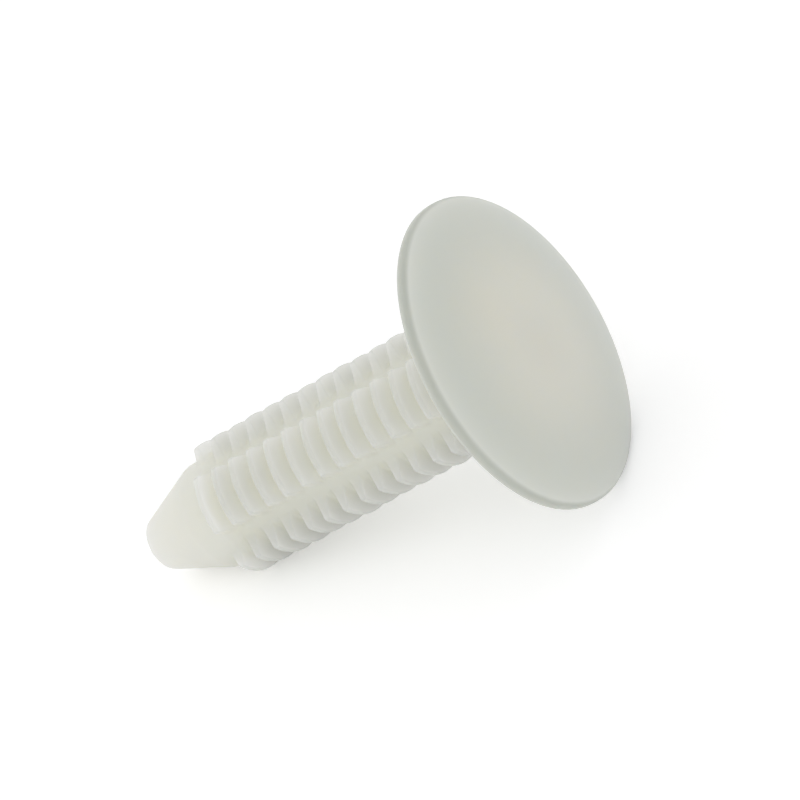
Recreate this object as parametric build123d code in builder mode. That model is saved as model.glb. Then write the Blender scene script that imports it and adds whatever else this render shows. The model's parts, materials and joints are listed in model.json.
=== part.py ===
from build123d import *
from math import asin, atan2, cos, radians, sin, tan
import os

# Head: a thin round disc with a low dome on it
head_diameter = 18.0
rim_thickness = 0.65
rim_chamfer = 0.15  # on the edge between rim and dome
dome_rise = 1.3

# Shank: a round core that carries four rows of barbs in a cross
shank_length = 26.0  # from under the head to the end of the tip
core_diameter = 5.5
barb_diameter = 7.75
barb_width = 3.3  # across a row
barb_pitch = 1.31
barb_crest = 0.34  # flat length along the top of a barb
barb_front_slope = 10.0  # degrees that the tip side of a barb leans from square
barb_back_slope = 12.0  # the same for its head side
head_gap = 0.5  # least plain core between the last barb and the head

# Tip: a smooth blunt cone on a short collar, which tapers back to the core behind the first barbs
cone_length = 4.25
tip_diameter = 3.0
tip_rounding = 0.45
collar_diameter = 6.25
collar_length = 1.0  # from the cone to the first barbs
collar_back_length = 0.8

head_radius = head_diameter / 2
core_radius = core_diameter / 2
barb_radius = barb_diameter / 2
tip_radius = tip_diameter / 2
collar_radius = collar_diameter / 2
dome_radius = (head_radius**2 + dome_rise**2) / (2 * dome_rise)
cone_base = -shank_length + cone_length
first_barb = cone_base + collar_length
barb_height = barb_radius - core_radius
front_run = barb_height * tan(radians(barb_front_slope))
back_run = barb_height * tan(radians(barb_back_slope))

# It lies on the rim of its head and on the first barbs of two neighbouring rows,
# each half the angle between rows away from straight down
row_turn = 45.0
barb_corner_angle = asin(barb_width / barb_diameter)
barb_corner_height = barb_radius * cos(barb_corner_angle) - core_radius
barb_contact_radius = barb_radius * cos(radians(row_turn) - barb_corner_angle)
barb_contact_run = -first_barb - barb_corner_height * tan(radians(barb_front_slope))
lie_angle = atan2(head_radius - barb_contact_radius, barb_contact_run)
seat_height = head_radius * cos(lie_angle)

# The origin is on the floor, under the middle of its whole length
cone_half_angle = atan2(collar_radius - tip_radius, cone_length)
tip_rounding_centre = tip_radius - tip_rounding * tan((radians(90) - cone_half_angle) / 2)
head_reach = (rim_thickness + dome_rise - dome_radius) * cos(lie_angle) + dome_radius
tip_corner_reach = (shank_length - tip_rounding) * cos(lie_angle) + tip_rounding_centre * sin(lie_angle)
tip_reach = tip_corner_reach + tip_rounding
seat_place = (tip_reach - head_reach) / 2

along = Vector(cos(lie_angle), 0, sin(lie_angle))  # towards the head
seat_origin = Vector(seat_place, 0, seat_height)
rivet_axis = Axis(seat_origin, along)
# The length plane has X along the rivet and Y outwards from its axis,
# and the cross plane is square to the axis, under the head
length_plane = Plane(origin=seat_origin, x_dir=along, z_dir=(0, -1, 0))
cross_plane = Plane(origin=seat_origin, x_dir=(0, 1, 0), z_dir=along)


def barb_rows(lead, turn):
    """Two opposite rows of flat-sided barbs, which start lead behind the first barb of the rivet."""
    first = first_barb + lead
    count = 1 + int((-first - head_gap - front_run - barb_crest - back_run) / barb_pitch)
    # each barb is drawn from inside the core to above its crest, then cut to the round
    bottom, top = core_radius / 2, barb_radius + barb_crest / 2
    front_slope, back_slope = tan(radians(barb_front_slope)), tan(radians(barb_back_slope))
    crest_start, crest_end = front_run, front_run + barb_crest
    barb = [
        (crest_start + (bottom - barb_radius) * front_slope, bottom),
        (crest_start + (top - barb_radius) * front_slope, top),
        (crest_end - (top - barb_radius) * back_slope, top),
        (crest_end - (bottom - barb_radius) * back_slope, bottom),
    ]
    row_plane = Plane(origin=seat_origin, x_dir=along, z_dir=length_plane.z_dir.rotate(rivet_axis, turn))
    with BuildPart() as rows:
        with BuildSketch(row_plane):
            for index in range(count):
                for side in (1, -1):
                    with BuildLine():
                        Polyline(*[(first + index * barb_pitch + x, side * y) for x, y in barb], close=True)
                    make_face()
        extrude(amount=barb_width / 2, both=True)
        with BuildSketch(cross_plane):
            Circle(barb_radius)
        extrude(amount=-shank_length, mode=Mode.INTERSECT)
    return rows.part


with BuildPart() as push_rivet:
    # head, core and tip turned in one profile
    with BuildSketch(length_plane):
        with BuildLine():
            rim_top = (rim_thickness, head_radius)
            apex = (rim_thickness + dome_rise, 0)
            RadiusArc(rim_top, apex, dome_radius)
            Polyline(
                apex,
                (-shank_length, 0),
                (-shank_length, tip_radius),
                (cone_base, collar_radius),
                (first_barb + barb_pitch / 2, collar_radius),
                (first_barb + barb_pitch / 2 + collar_back_length, core_radius),
                (0, core_radius),
                (0, head_radius),
                rim_top,
            )
        make_face()
        chamfer(vertices().sort_by_distance(rim_top)[0], rim_chamfer)
        fillet(vertices().sort_by_distance((-shank_length, tip_radius))[0], tip_rounding)
    revolve(axis=rivet_axis)
    add(barb_rows(0, -row_turn))
    add(barb_rows(barb_pitch / 2, row_turn))

push_rivet.part.label = "push_rivet"
os.makedirs("parts", exist_ok=True)
export_step(push_rivet.part, "parts/push_rivet.step")
print("push_rivet", round(push_rivet.part.volume, 1), push_rivet.part.bounding_box())
print("seat", round(seat_place, 4), round(seat_height, 4))
print("direction to the head", round(along.X, 6), round(along.Z, 6))
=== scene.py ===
import json
import math

import bpy
import numpy as np
from mathutils import Matrix, Vector


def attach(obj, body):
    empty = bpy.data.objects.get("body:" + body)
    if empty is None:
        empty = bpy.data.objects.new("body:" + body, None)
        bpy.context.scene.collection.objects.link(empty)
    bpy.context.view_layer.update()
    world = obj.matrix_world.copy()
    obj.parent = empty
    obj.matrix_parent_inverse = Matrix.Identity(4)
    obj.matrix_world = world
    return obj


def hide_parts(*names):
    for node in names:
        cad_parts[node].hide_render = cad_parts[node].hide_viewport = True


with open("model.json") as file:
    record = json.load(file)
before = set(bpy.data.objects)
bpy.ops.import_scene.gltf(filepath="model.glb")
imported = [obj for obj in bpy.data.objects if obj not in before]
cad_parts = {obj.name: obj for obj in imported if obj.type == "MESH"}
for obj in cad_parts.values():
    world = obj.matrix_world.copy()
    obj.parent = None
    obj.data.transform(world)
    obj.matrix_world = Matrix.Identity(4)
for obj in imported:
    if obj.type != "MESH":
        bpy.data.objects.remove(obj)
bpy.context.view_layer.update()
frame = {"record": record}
scene = bpy.context.scene

# Where the rivet lies in the frame: the middle of the head's underside and the way the shank points
mounts = {mount["name"]: mount for mount in frame["record"]["mounts"]}
seatPoint = Vector(mounts["head_seat"]["pos_m"])
towardsHead = -Vector(mounts["head_seat"]["axis"]).normalized()
sideways = Vector((0, 1, 0))
upwards = towardsHead.cross(sideways)


camera = {
    "sightAngle": 56.55,  # degrees between the rivet's axis and the line of sight
    "turn": 57.5,  # degrees round the axis, from straight above the rivet towards -Y
    "roll": 28.75,  # degrees that the rivet's axis rises in the view
    "distance": 0.3,
    "pixelsPerMetre": 18900.0,
    "viewSize": 800.0,  # pixels
    "aimPixel": (516.0, 351.7),  # where the middle of the head's disc falls
    "aimHeight": 0.0003,  # above the head's underside
    "sensor": 36.0,
}


def makeCamera(values):
    # The line of sight leaves the rivet's axis by sightAngle and is turned round it by turn. The aim is
    # moved aside until the middle of the disc falls on aimPixel, and the lens is pixelsPerMetre times
    # the distance, as a share of the view's width and scaled to the sensor.
    sight, turn, roll = (math.radians(values[key]) for key in ("sightAngle", "turn", "roll"))
    outwards = upwards * math.cos(turn) - sideways * math.sin(turn)
    back = towardsHead * math.cos(sight) + outwards * math.sin(sight)
    across = towardsHead.cross(back).normalized()
    along = (towardsHead - back * math.cos(sight)).normalized()
    right = along * math.cos(roll) + across * math.sin(roll)
    up = along * math.sin(roll) - across * math.cos(roll)
    half = values["viewSize"] / 2
    aim = seatPoint + towardsHead * values["aimHeight"]
    aim -= right * (values["aimPixel"][0] - half) / values["pixelsPerMetre"]
    aim -= up * (half - values["aimPixel"][1]) / values["pixelsPerMetre"]
    data = bpy.data.cameras.new("camera")
    data.sensor_width = values["sensor"]
    data.lens = data.sensor_width * values["distance"] * values["pixelsPerMetre"] / values["viewSize"]
    data.clip_start = values["distance"] / 30
    data.clip_end = values["distance"] * 30
    eye = bpy.data.objects.new("camera", data)
    scene.collection.objects.link(eye)
    turned = Matrix((right, up, back)).transposed().to_4x4()
    eye.matrix_world = Matrix.Translation(aim + back * values["distance"]) @ turned
    scene.camera = eye


makeCamera(camera)
print("camera placed")


rivet = {
    "headRadius": 0.009,
    "rimThickness": 0.00065,
    "domeRise": 0.0013,
    "rimRounding": 0.00035,
    "underRimRounding": 0.00012,
    "sinkDepth": 0.00010,  # the shallow hollow that the shank leaves in the dome as it cools
    "sinkRadius": 0.0021,
    "neckRounding": 0.0003,
    "coreRadius": 0.00275,
    "barbRadius": 0.003875,
    "barbWidth": 0.0033,
    "barbCrest": 0.00034,
    "barbPitch": 0.00131,
    "barbCount": 15,
    "frontSlope": 10.0,  # degrees
    "backSlope": 12.0,
    "barbRounding": 0.00012,
    "footRounding": 0.00026,
    "cornerRounding": 0.00016,
    "heightSpread": 0.00002,  # small differences between one barb and the next
    "leanSpread": 0.00004,
    "firstBarb": -0.02075,
    "collarRadius": 0.003125,
    "collarBackLength": 0.0008,
    "leadStart": 39.0,  # degrees round from a row, where the half pitch to the next row sets in
    "leadSpan": 12.0,
    "coneBase": -0.02175,
    "shoulderRounding": 0.0008,
    "tipRadius": 0.0015,
    "tipRounding": 0.00045,
    "tipEnd": -0.026,
}


def softMax(a, b, width):
    # the larger of two, with a fillet where they are closer than width
    blend = np.clip(1 - np.abs(a - b) / width, 0, None)
    return np.maximum(a, b) + blend**2 * width / 4


def softMin(a, b, width):
    # the smaller of two, with the same fillet
    return -softMax(-a, -b, width)


def ease(value):
    # 0 to 1 with flat ends
    value = np.clip(value, 0, 1)
    return value * value * (3 - 2 * value)


def roundCorner(before, corner, after, radius, steps):
    # points of an arc of that radius, tangent to the two lines that meet at corner
    before, corner, after = (np.array(point, float) for point in (before, corner, after))
    back = (before - corner) / np.linalg.norm(before - corner)
    ahead = (after - corner) / np.linalg.norm(after - corner)
    half = math.acos(np.clip(back @ ahead, -1, 1)) / 2
    middle = (back + ahead) / np.linalg.norm(back + ahead)
    centre = corner + middle * radius / math.sin(half)
    start = corner + back * radius / math.tan(half) - centre
    end = corner + ahead * radius / math.tan(half) - centre
    share = np.linspace(0, 1, steps)[:, None]
    sweep = math.pi - 2 * half
    return centre + (np.sin((1 - share) * sweep) * start + np.sin(share * sweep) * end) / math.sin(sweep)


def straight(start, end, steps, ends=False):
    # steps points evenly between start and end, with those two as well if asked
    share = np.linspace(0, 1, steps + 2)[:, None]
    share = share if ends else share[1:-1]
    return np.array(start) * (1 - share) + np.array(end) * share


def headProfile(size):
    # (length, radius) from the top of the dome over the rim and under the head to the neck:
    # the dome is part of a sphere, less a shallow bell-shaped hollow in its middle
    radius = size["headRadius"]
    sphere = (radius**2 + size["domeRise"] ** 2) / (2 * size["domeRise"])
    rimTop = size["rimThickness"]
    spread = np.linspace(0, 1, 34) ** 0.9 * (radius - size["rimRounding"])
    dome = rimTop + size["domeRise"] - sphere + np.sqrt(sphere**2 - spread**2)
    dome -= size["sinkDepth"] * np.exp(-((spread / size["sinkRadius"]) ** 2))
    edge = (dome[-1], spread[-1])
    corner = (rimTop, radius)
    top = roundCorner(edge, corner, (0, radius), size["rimRounding"], 7)
    under = roundCorner((rimTop, radius), (0, radius), (0, 0), size["underRimRounding"], 5)
    core = size["coreRadius"]
    neck = roundCorner((0, radius), (0, core), (-1, core), size["neckRounding"], 6)
    return np.vstack([
        np.column_stack([dome, spread])[:-1],
        top,
        straight(top[-1], under[0], 2),
        under,
        straight(under[-1], neck[0], 12),
        neck,
    ])


def barbProfile(size):
    # (length, radius) of one barb, from the core on its tip side over the crest to the core behind it
    low = size["coreRadius"] - size["footRounding"]
    rise = size["barbRadius"] - size["coreRadius"]
    frontLean = math.tan(math.radians(size["frontSlope"]))
    backLean = math.tan(math.radians(size["backSlope"]))
    front = (rise * frontLean, size["barbRadius"])
    back = (front[0] + size["barbCrest"], size["barbRadius"])
    frontFoot = (front[0] - (front[1] - low) * frontLean, low)
    backFoot = (back[0] + (back[1] - low) * backLean, low)
    frontEdge = roundCorner(frontFoot, front, back, size["barbRounding"], 4)
    backEdge = roundCorner(front, back, backFoot, size["barbRounding"], 4)
    return np.vstack([
        straight(frontFoot, frontEdge[0], 5, ends=True)[:-1],
        frontEdge,
        straight(frontEdge[-1], backEdge[0], 1),
        backEdge,
        straight(backEdge[-1], backFoot, 5, ends=True)[1:],
    ])


def tipProfile(size):
    # (length, radius) from the collar down the cone to the middle of the blunt end
    collar = (size["coneBase"], size["collarRadius"])
    corner = (size["tipEnd"], size["tipRadius"])
    middle = (size["tipEnd"], 0)
    shoulder = roundCorner((collar[0] + 1, collar[1]), collar, corner, size["shoulderRounding"], 5)
    nose = roundCorner(collar, corner, middle, size["tipRounding"], 8)
    return np.vstack([shoulder, straight(shoulder[-1], nose[0], 14), nose, straight(nose[-1], middle, 4)])


def columnAngles(size):
    # Angles round the axis, and the row that each belongs to. They are packed where the side walls
    # of the barbs turn, which is at the arc sine of half the width over the radius.
    half = size["barbWidth"] / 2
    crestEdge = math.asin(half / size["barbRadius"])
    foot = math.asin(half / size["coreRadius"])
    quarter = math.pi / 4
    side = np.concatenate([
        np.linspace(0, crestEdge * 0.9, 7),
        np.linspace(crestEdge * 0.955, crestEdge * 1.06, 4),
        np.linspace(crestEdge * 1.13, foot * 0.95, 4),
        np.linspace(foot, foot * 1.08, 3),
        np.linspace(foot * 1.08, quarter, 4)[1:],
    ])
    row = np.concatenate([-side[:0:-1], side])[1:]
    return (row[None, :] + np.arange(4)[:, None] * math.pi / 2).ravel(), np.repeat(np.arange(4), len(row))


def rivetSurface(size):
    # Every point is seat + length * axis + radius * (cos angle, sin angle), on a grid of profile lines
    # by angles. On the shank the radius is the larger of the core and the barb. The barb is the smaller
    # of its profile and its two side walls, which stand at half the width over the sine of the angle
    # from the row's middle. Two opposite rows sit half a pitch further towards the head.
    angles, rows = columnAngles(size)
    offset = np.abs((angles + math.pi / 4) % (math.pi / 2) - math.pi / 4)
    smallest = 0.05  # radians, so that the wall stays finite in the middle of a row
    wall = size["barbWidth"] / 2 / np.sin(np.maximum(offset, smallest))
    nearRow = np.abs((angles + math.pi / 2) % math.pi - math.pi / 2)
    lead = size["barbPitch"] / 2 * ease((np.degrees(nearRow) - size["leadStart"]) / size["leadSpan"])

    head = headProfile(size)
    tip = tipProfile(size)
    barb = barbProfile(size)
    starts = size["firstBarb"] + np.arange(size["barbCount"])[::-1] * size["barbPitch"]
    shankLength = (starts[:, None] + barb[::-1, 0]).ravel()
    shankRadius = np.tile(barb[::-1, 1], size["barbCount"])
    barbIndex = np.repeat(np.arange(size["barbCount"]), len(barb))

    random = np.random.default_rng(7)
    taller = random.normal(0, size["heightSpread"], (size["barbCount"], 4))[barbIndex][:, rows]
    leaning = random.normal(0, size["leanSpread"], (size["barbCount"], 4))[barbIndex][:, rows]
    length = shankLength[:, None] + lead[None, :]
    collarEnd = size["firstBarb"] + size["barbPitch"] / 2
    taper = ease((length - collarEnd) / size["collarBackLength"])
    core = size["collarRadius"] + (size["coreRadius"] - size["collarRadius"]) * taper
    crest = softMin(shankRadius[:, None] + taller, wall[None, :], size["cornerRounding"])
    radius = softMax(core, crest, size["footRounding"])
    raised = np.clip((radius - core) / (size["barbRadius"] - size["coreRadius"]), 0, 1)
    length = length + leaning * raised

    def between(start, end, leadStart, leadEnd, steps, around):
        # lines on a cylinder of radius around, over which the half pitch comes in or goes out
        lines = straight((start, leadStart), (end, leadEnd), steps)
        level = lines[:, :1] + lines[:, 1:] * lead[None, :]
        return np.stack([level, np.full(level.shape, around)], axis=-1)

    columns = len(angles)
    grid = np.concatenate([
        np.repeat(head[1:, None, :], columns, axis=1),
        between(head[-1, 0], shankLength[0], 0, 1, 5, size["coreRadius"]),
        np.stack([length, radius], axis=-1),
        between(shankLength[-1], tip[0, 0], 1, 0, 3, size["collarRadius"]),
        np.repeat(tip[:-1, None, :], columns, axis=1),
    ])
    return angles, grid, head[0, 0], tip[-1, 0]


def makeRivet(size, name):
    # The grid's columns join up round the axis, and a fan of triangles closes the dome and the tip
    angles, grid, top, bottom = rivetSurface(size)
    lines, columns = grid.shape[:2]
    axis, seat = np.array(towardsHead), np.array(seatPoint)
    firstRow = np.array((sideways + upwards).normalized())
    secondRow = np.cross(axis, firstRow)
    outwards = np.cos(angles)[:, None] * firstRow + np.sin(angles)[:, None] * secondRow
    points = seat + grid[..., :1] * axis + grid[..., 1:] * outwards[None]
    points = np.vstack([points.reshape(-1, 3), seat + top * axis, seat + bottom * axis])
    here = np.arange(lines * columns).reshape(lines, columns)
    beside = np.roll(here, -1, axis=1)
    quads = np.stack([here[:-1], here[1:], beside[1:], beside[:-1]], axis=-1).reshape(-1, 4)
    poleTop, poleBottom = lines * columns, lines * columns + 1
    topFan = np.column_stack([np.full(columns, poleTop), here[0], beside[0]])
    bottomFan = np.column_stack([np.full(columns, poleBottom), beside[-1], here[-1]])
    mesh = bpy.data.meshes.new(name)
    mesh.from_pydata(points.tolist(), [], quads.tolist() + topFan.tolist() + bottomFan.tolist())
    mesh.validate()
    mesh.polygons.foreach_set("use_smooth", np.ones(len(mesh.polygons), bool))
    mesh.update()
    piece = bpy.data.objects.new(name, mesh)
    scene.collection.objects.link(piece)
    return piece


nylon = {
    "colour": (0.765, 0.78, 0.70),
    "warmColour": (0.805, 0.79, 0.68),
    # painted shade: the whole head a little darker and cooler than the shank
    "headPaintedShade": (0.95, 0.945, 0.98),
    "headReach": (-0.0004, -0.0001),  # along the axis from the underside of the head
    "thinPaintedShade": (0.80, 0.84, 0.88),  # painted shade: the head darker towards its rim, where the plastic is thin and less light comes through
    "thinReach": (0.0018, 0.0085),  # from the axis
    "crestPaintedShade": (0.82, 0.835, 0.83),  # painted shade: the barbs darker at their crests, where one looks into them edge-on
    "crestReach": (0.0033, 0.0037),
    "rimPaintedShade": (0.82, 0.82, 0.815),  # painted shade: the head's rim darker, where one looks into the head edge-on
    "rimReach": (0.0078, 0.0089),
    "outwardReach": (0.3, 0.95),  # how squarely a crest or the rim faces away from the axis, for their painted shade
    "tipPaintedShade": (0.96, 0.955, 0.955),  # painted shade: the cone, which is thick all through, a little darker to even its light with the shank's
    "tipReach": (-0.0200, -0.0220),
    "roughness": (0.39, 0.53),  # from the glossiest patches to the dullest
    "scatterWeight": 1.0,
    "scatterRadius": (1.0, 0.95, 0.8),
    "scatterScale": 0.0125,
    "headScatterScale": 0.003,  # light travels less far in the thin head
    "refraction": 1.53,
    "cloudScale": 210.0,
    "grainScale": 5200.0,
    "grainDepth": 0.000004,
    "waveScale": 620.0,
    "waveDepth": 0.00002,
}


def makeNylon(values):
    # Clouded nylon, with painted shade by where a point is along the rivet, how far it is from the axis
    # and how squarely it faces away from it, with light scattered inside it, a fine grain and a slight
    # waviness
    material = bpy.data.materials.new("naturalNylon")
    material.use_nodes = True
    tree = material.node_tree
    nodes, links = tree.nodes, tree.links
    shader = nodes["Principled BSDF"]
    place = nodes.new("ShaderNodeTexCoord")

    def noise(scale, detail=2, rough=0.5):
        node = nodes.new("ShaderNodeTexNoise")
        node.inputs["Scale"].default_value = scale
        node.inputs["Detail"].default_value = detail
        node.inputs["Roughness"].default_value = rough
        links.new(place.outputs["Object"], node.inputs["Vector"])
        return node.outputs["Fac"]

    def vectorMath(operation, first, second):
        node = nodes.new("ShaderNodeVectorMath")
        node.operation = operation
        links.new(first, node.inputs[0])
        node.inputs[1].default_value = second
        return node.outputs["Value" if operation in ("DOT_PRODUCT", "LENGTH") else "Vector"]

    def ramp(value, reach, low=0.0, high=1.0):
        node = nodes.new("ShaderNodeMapRange")
        node.interpolation_type = "SMOOTHSTEP"
        links.new(value, node.inputs["Value"])
        node.inputs["From Min"].default_value, node.inputs["From Max"].default_value = reach
        node.inputs["To Min"].default_value, node.inputs["To Max"].default_value = low, high
        return node.outputs["Result"]

    def both(first, second):
        node = nodes.new("ShaderNodeMath")
        node.operation = "MULTIPLY"
        links.new(first, node.inputs[0])
        links.new(second, node.inputs[1])
        return node.outputs["Value"]

    def mix(blend, mask, first, colour):
        node = nodes.new("ShaderNodeMix")
        node.data_type = "RGBA"
        node.blend_type = blend
        links.new(mask, node.inputs["Factor"])
        if isinstance(first, tuple):
            node.inputs["A"].default_value = (*first, 1)
        else:
            links.new(first, node.inputs["A"])
        node.inputs["B"].default_value = (*colour, 1)
        return node.outputs["Result"]

    def intoRivetFrame(vector, origin):
        # X runs along the rivet's axis from under the head, and Y and Z point away from the axis
        node = nodes.new("ShaderNodeMapping")
        node.vector_type = "TEXTURE"
        node.inputs["Location"].default_value = origin
        node.inputs["Rotation"].default_value = (0, -math.atan2(towardsHead.z, towardsHead.x), 0)
        links.new(vector, node.inputs["Vector"])
        return node.outputs["Vector"]

    point = intoRivetFrame(place.outputs["Object"], seatPoint)
    normal = intoRivetFrame(place.outputs["Normal"], (0, 0, 0))
    away = vectorMath("MULTIPLY", point, (0, 1, 1))
    radius = vectorMath("LENGTH", away, (0, 0, 0))
    outwards = nodes.new("ShaderNodeVectorMath")  # 1 where it faces straight away from the axis
    outwards.operation = "DOT_PRODUCT"
    links.new(vectorMath("NORMALIZE", away, (0, 0, 0)), outwards.inputs[0])
    links.new(normal, outwards.inputs[1])

    along = vectorMath("DOT_PRODUCT", point, (1, 0, 0))
    headShade = ramp(along, values["headReach"])
    tipShade = ramp(along, values["tipReach"])
    thinShade = ramp(radius, values["thinReach"])
    facing = ramp(outwards.outputs["Value"], values["outwardReach"])
    # mask for the painted shade on the barb crests
    crest = both(ramp(radius, values["crestReach"]), facing)
    # mask for the painted shade on the head's rim
    rimShade = both(ramp(radius, values["rimReach"]), facing)
    clouds = noise(values["cloudScale"], 3, 0.55)
    colour = mix("MIX", clouds, values["colour"], values["warmColour"])
    # painted shade over the head
    colour = mix("MULTIPLY", headShade, colour, values["headPaintedShade"])
    # painted shade on the cone
    colour = mix("MULTIPLY", tipShade, colour, values["tipPaintedShade"])
    # painted shade towards the rim of the head
    colour = mix("MULTIPLY", thinShade, colour, values["thinPaintedShade"])
    # painted shade on the barb crests
    colour = mix("MULTIPLY", crest, colour, values["crestPaintedShade"])
    # painted shade on the head's rim
    colour = mix("MULTIPLY", rimShade, colour, values["rimPaintedShade"])
    links.new(colour, shader.inputs["Base Color"])

    gloss = ramp(noise(values["waveScale"], 4, 0.6), (0, 1), *values["roughness"])
    links.new(gloss, shader.inputs["Roughness"])

    wave = nodes.new("ShaderNodeBump")
    wave.inputs["Distance"].default_value = values["waveDepth"]
    links.new(noise(values["waveScale"]), wave.inputs["Height"])
    grain = nodes.new("ShaderNodeBump")
    grain.inputs["Distance"].default_value = values["grainDepth"]
    links.new(noise(values["grainScale"]), grain.inputs["Height"])
    links.new(wave.outputs["Normal"], grain.inputs["Normal"])
    links.new(grain.outputs["Normal"], shader.inputs["Normal"])

    shader.inputs["Subsurface Weight"].default_value = values["scatterWeight"]
    shader.inputs["Subsurface Radius"].default_value = values["scatterRadius"]
    scatter = ramp(along, values["headReach"], values["scatterScale"], values["headScatterScale"])
    links.new(scatter, shader.inputs["Subsurface Scale"])
    shader.inputs["IOR"].default_value = values["refraction"]
    return material


body = makeRivet(rivet, "moulded_rivet")
body.data.materials.append(makeNylon(nylon))
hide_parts("push_rivet")
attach(body, "root")
print("rivet made,", len(body.data.polygons), "faces")


def seenByEye(nodes, links):
    # 1 for rays from the camera, directly, mirrored or through something clear
    path = nodes.new("ShaderNodeLightPath")
    total = path.outputs["Is Camera Ray"]
    for name in ("Is Glossy Ray", "Is Transmission Ray"):
        add = nodes.new("ShaderNodeMath")
        add.operation = "MAXIMUM"
        links.new(total, add.inputs[0])
        links.new(path.outputs[name], add.inputs[1])
        total = add.outputs[0]
    return total


ground = {
    "size": 3.0,
    "colour": 0.97,
    "lift": 0.3,  # added for the eye alone, so that the floor is white and keeps its shadow
}


def makeFloor(values):
    # a matt square with its middle at the origin
    half = values["size"] / 2
    corners = [(-half, -half, 0), (half, -half, 0), (half, half, 0), (-half, half, 0)]
    mesh = bpy.data.meshes.new("floor")
    mesh.from_pydata(corners, [], [(0, 1, 2, 3)])
    floor = bpy.data.objects.new("floor", mesh)
    scene.collection.objects.link(floor)
    material = bpy.data.materials.new("floor")
    material.use_nodes = True
    nodes, links = material.node_tree.nodes, material.node_tree.links
    nodes.remove(nodes["Principled BSDF"])
    matt = nodes.new("ShaderNodeBsdfDiffuse")
    matt.inputs["Color"].default_value = (values["colour"],) * 3 + (1,)
    glow = nodes.new("ShaderNodeEmission")
    glow.inputs["Strength"].default_value = values["lift"]
    both = nodes.new("ShaderNodeAddShader")
    links.new(matt.outputs[0], both.inputs[0])
    links.new(glow.outputs[0], both.inputs[1])
    seen = seenByEye(nodes, links)
    choose = nodes.new("ShaderNodeMixShader")
    links.new(seen, choose.inputs[0])
    links.new(matt.outputs[0], choose.inputs[1])
    links.new(both.outputs[0], choose.inputs[2])
    links.new(choose.outputs[0], nodes["Material Output"].inputs["Surface"])
    mesh.materials.append(material)


sky = {
    "strength": 0.95,
    "dimDirection": (0.45, 0.35, 0.8),  # the surround is dimmer high up on this side
    "dimCore": 15.0,  # degrees from that direction over which it is dimmest
    "dimReach": 80.0,  # degrees by which it is back at full strength
    "dimShare": 0.7,
}


def makeSky(values):
    # an even white surround, eased down to dimShare of its strength around dimDirection
    world = bpy.data.worlds.new("sky")
    scene.world = world
    world.use_nodes = True
    nodes, links = world.node_tree.nodes, world.node_tree.links
    place = nodes.new("ShaderNodeTexCoord")
    facing = nodes.new("ShaderNodeVectorMath")
    facing.operation = "DOT_PRODUCT"
    facing.inputs[1].default_value = Vector(values["dimDirection"]).normalized()
    links.new(place.outputs["Generated"], facing.inputs[0])
    shade = nodes.new("ShaderNodeMapRange")
    shade.interpolation_type = "SMOOTHSTEP"
    shade.inputs["From Min"].default_value = math.cos(math.radians(values["dimReach"]))
    shade.inputs["From Max"].default_value = math.cos(math.radians(values["dimCore"]))
    shade.inputs["To Min"].default_value = values["strength"]
    shade.inputs["To Max"].default_value = values["strength"] * values["dimShare"]
    links.new(facing.outputs["Value"], shade.inputs["Value"])
    light = nodes["Background"]
    light.inputs["Color"].default_value = (1, 1, 1, 1)
    links.new(shade.outputs["Result"], light.inputs["Strength"])
    white = nodes.new("ShaderNodeBackground")
    white.inputs["Color"].default_value = (1, 1, 1, 1)
    choose = nodes.new("ShaderNodeMixShader")
    links.new(seenByEye(nodes, links), choose.inputs[0])
    links.new(light.outputs[0], choose.inputs[1])
    links.new(white.outputs[0], choose.inputs[2])
    links.new(choose.outputs[0], nodes["World Output"].inputs["Surface"])


makeFloor(ground)
makeSky(sky)
scene.view_settings.view_transform = "Standard"
print("floor and light placed")
